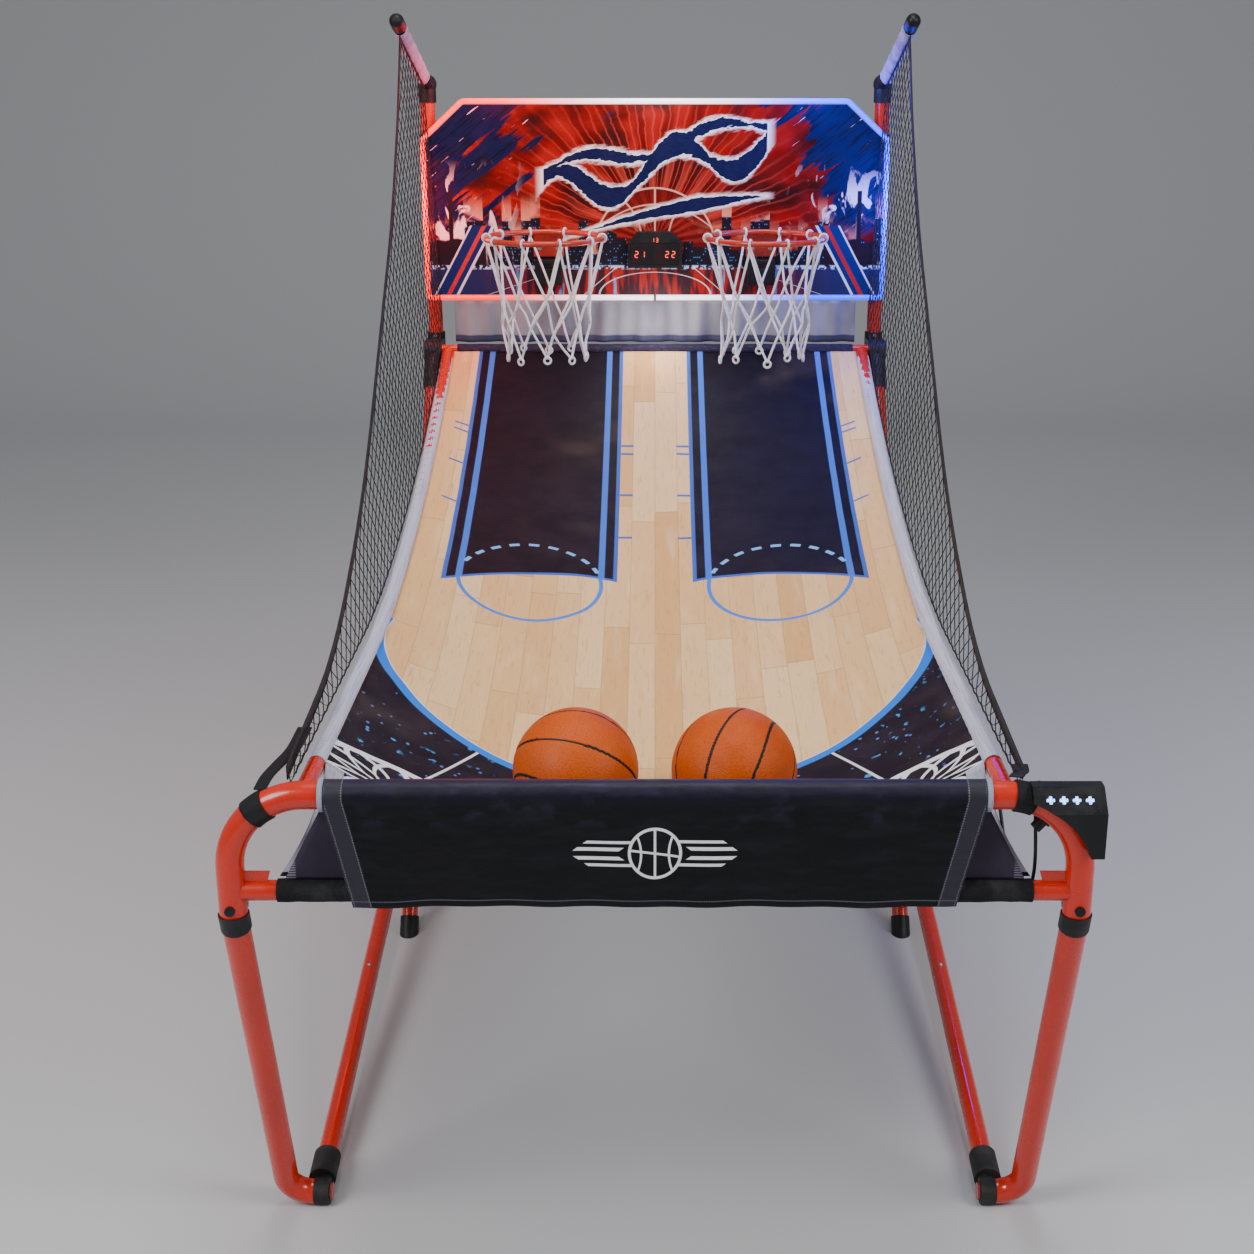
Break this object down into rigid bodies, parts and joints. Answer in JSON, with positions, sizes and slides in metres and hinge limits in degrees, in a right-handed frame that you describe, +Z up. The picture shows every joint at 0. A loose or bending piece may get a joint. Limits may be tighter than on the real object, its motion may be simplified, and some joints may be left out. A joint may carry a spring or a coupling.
{
  "type": "folding arcade basketball machine",
  "caption": "Folding arcade basketball machine: tube frame, sloping cloth playfield, light-edged backboard, twin hoops with nets, side nets and control box.",
  "frame": {"origin": "on the floor at the middle of the footprint, with the machine in use", "axes": "+X across the machine to the player's right, +Y from the player to the backboard, +Z up"},
  "size_m": [1.172, 1.9689, 1.7545],
  "materials": {
    "frame_paint": "glossy orange-red powder coat",
    "black_plastic": "moulded satin black",
    "screw_steel": "zinc plated",
    "arm_paint": "black powder coat",
    "sleeve_fabric": "woven grey",
    "board_print": "printed satin panel",
    "light_tube": "clear light tube, red to white to blue",
    "hoop_paint": "orange-red paint",
    "net_cord": "braided white cord",
    "sensor_plastic": "black",
    "score_lens": "dark red lens",
    "curtain_fabric": "grey woven cloth",
    "side_netting": "black knotted netting",
    "sleeve_foam": "black foam sleeve",
    "court_fabric": "printed polyester",
    "panel_fabric": "black woven polyester",
    "trough_fabric": "dark purple-grey polyester",
    "box_plastic": "black",
    "circuit_board": "green board",
    "cable_rubber": "black lead",
    "button_light": "glowing blue",
    "boot_rubber": "black rubber",
    "ball_rubber": "pebbled orange rubber"
  },
  "bodies": {
    "rear_frame": {"rear_post_left": "frame_paint", "rear_post_right": "frame_paint", "rear_leg_left": "frame_paint", "rear_leg_right": "frame_paint", "post_foot_caps": "black_plastic", "rear_leg_caps": "black_plastic", "rear_cross_bar": "frame_paint", "frame_clamps": "black_plastic", "clamp_screws": "screw_steel", "arm_joiners": "black_plastic", "net_arms": "arm_paint", "arm_caps": "black_plastic", "arm_sleeves": "sleeve_fabric", "backboard": "board_print", "board_brackets": "black_plastic", "board_screws": "screw_steel", "led_tube": "light_tube", "hoop_left": "hoop_paint", "hoop_right": "hoop_paint", "hoop_screws": "screw_steel", "hoop_net_left": "net_cord", "hoop_net_right": "net_cord", "score_sensors": "sensor_plastic", "scoreboard_case": "sensor_plastic", "scoreboard_lens": "score_lens", "rear_curtain": "curtain_fabric", "side_net_left": "side_netting", "side_net_right": "side_netting"},
    "playfield_frame": {"front_tube": "frame_paint", "lower_cross_tube": "frame_paint", "lower_sleeve": "sleeve_foam", "side_rails": "frame_paint", "ramp_top_bar": "frame_paint", "ramp": "court_fabric", "front_panel": "panel_fabric", "trough_curtain": "trough_fabric", "hinge_lugs": "black_plastic", "collar_caps": "black_plastic", "control_box": "box_plastic", "control_board": "circuit_board", "control_clamp": "black_plastic", "control_cable": "cable_rubber"},
    "front_legs": {"front_leg_left": "frame_paint", "front_leg_right": "frame_paint", "leg_collars": "black_plastic", "hinge_pins": "screw_steel", "foot_bolts": "screw_steel"},
    "base_rails_body": {"base_rails": "frame_paint", "foot_boots": "boot_rubber", "rail_bolts": "screw_steel"},
    "clamp_knob_body": {"clamp_knob": "black_plastic"},
    "snap_left": {"snap_button_left": "screw_steel"},
    "snap_right": {"snap_button_right": "screw_steel"},
    "ball_left_body": {"ball_left": "ball_rubber"},
    "ball_right_body": {"ball_right": "ball_rubber"},
    "button_1_body": {"button_1": "button_light"},
    "button_2_body": {"button_2": "button_light"},
    "button_3_body": {"button_3": "button_light"},
    "button_4_body": {"button_4": "button_light"}
  },
  "joints": [
    {"name": "playfield_fold", "type": "hinge", "parent": "rear_frame", "child": "playfield_frame", "pos_m": [0, 0.9015, 1.045], "axis": [-1, 0, 0], "range_deg": [0, 64], "deforming": ["side_net_left", "side_net_right", "hoop_net_left", "hoop_net_right"]},
    {"name": "front_leg_fold", "type": "hinge", "parent": "playfield_frame", "child": "front_legs", "pos_m": [0, -0.9065, 0.598], "axis": [1, 0, 0], "range_deg": [0, 75]},
    {"name": "base_rail_fold", "type": "hinge", "parent": "front_legs", "child": "base_rails_body", "pos_m": [0, -0.7415, 0.02], "axis": [-1, 0, 0], "range_deg": [0, 70]},
    {"name": "button_1_press", "type": "slide", "parent": "playfield_frame", "child": "button_1_body", "axis": [0, 0.669, -0.7433], "range_m": [0, 0.0012], "stiffness_N_per_m": 400},
    {"name": "button_2_press", "type": "slide", "parent": "playfield_frame", "child": "button_2_body", "axis": [0, 0.669, -0.7433], "range_m": [0, 0.0012], "stiffness_N_per_m": 400},
    {"name": "button_3_press", "type": "slide", "parent": "playfield_frame", "child": "button_3_body", "axis": [0, 0.669, -0.7433], "range_m": [0, 0.0012], "stiffness_N_per_m": 400},
    {"name": "button_4_press", "type": "slide", "parent": "playfield_frame", "child": "button_4_body", "axis": [0, 0.669, -0.7433], "range_m": [0, 0.0012], "stiffness_N_per_m": 400},
    {"name": "clamp_knob_turn", "type": "hinge", "parent": "playfield_frame", "child": "clamp_knob_body", "pos_m": [0.51303, -0.9245, 0.7282], "axis": [0.6428, 0, 0.766], "continuous": true},
    {"name": "snap_left_press", "type": "slide", "parent": "base_rails_body", "child": "snap_left", "axis": [-0.0012, 0.0926, -0.9957], "range_m": [0, 0.003], "stiffness_N_per_m": 800},
    {"name": "snap_right_press", "type": "slide", "parent": "base_rails_body", "child": "snap_right", "axis": [0.0012, 0.0926, -0.9957], "range_m": [0, 0.003], "stiffness_N_per_m": 800},
    {"name": "ball_left_roll", "type": "hinge", "parent": "playfield_frame", "child": "ball_left_body", "pos_m": [-0.112, -0.7565, 0.7297], "axis": [1, 0, 0], "continuous": true},
    {"name": "ball_right_roll", "type": "hinge", "parent": "playfield_frame", "child": "ball_right_body", "pos_m": [0.112, -0.7565, 0.7297], "axis": [1, 0, 0], "continuous": true}
  ],
  "couplings": [
    {"joint": "front_leg_fold", "follows": "playfield_fold", "ratio": 1.1719},
    {"joint": "base_rail_fold", "follows": "playfield_fold", "ratio": 1.0938}
  ]
}
